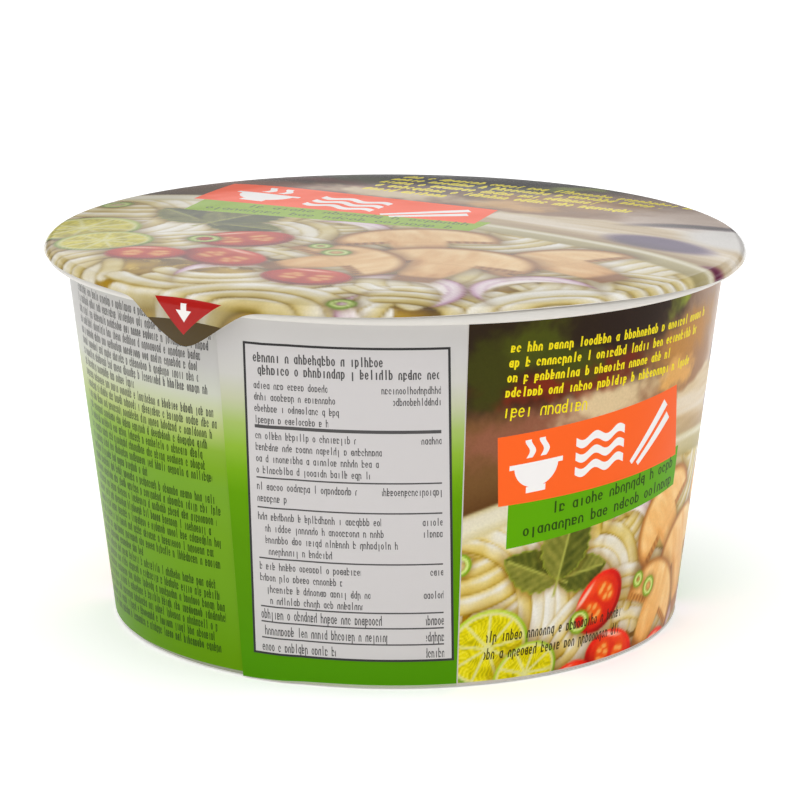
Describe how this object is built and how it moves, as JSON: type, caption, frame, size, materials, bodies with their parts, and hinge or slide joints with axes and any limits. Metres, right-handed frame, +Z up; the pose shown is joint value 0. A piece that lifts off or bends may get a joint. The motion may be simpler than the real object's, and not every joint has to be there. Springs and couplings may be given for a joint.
{
  "type": "instant noodle cup",
  "caption": "Sealed wide instant noodle cup: white bowl with rolled rim, printed card wrap with a lapped seam, and a thin peel lid with a folded pull tab.",
  "frame": {"origin": "middle of the foot, on the surface the cup stands on", "axes": "+Z up along the bowl's axis, -Y towards the front, where the picture was taken from; the pull tab is 35 degrees to the left of the front"},
  "size_m": [0.1478, 0.1477, 0.0818],
  "materials": {
    "bowl_white": "coated white paper board, satin",
    "printed_card": "varnished printed card, semi-gloss",
    "printed_foil": "foil-backed paper lidding, printed and varnished"
  },
  "bodies": {
    "root": {"cup": "bowl_white", "wrap": "printed_card", "lid": "printed_foil"}
  },
  "joints": []
}
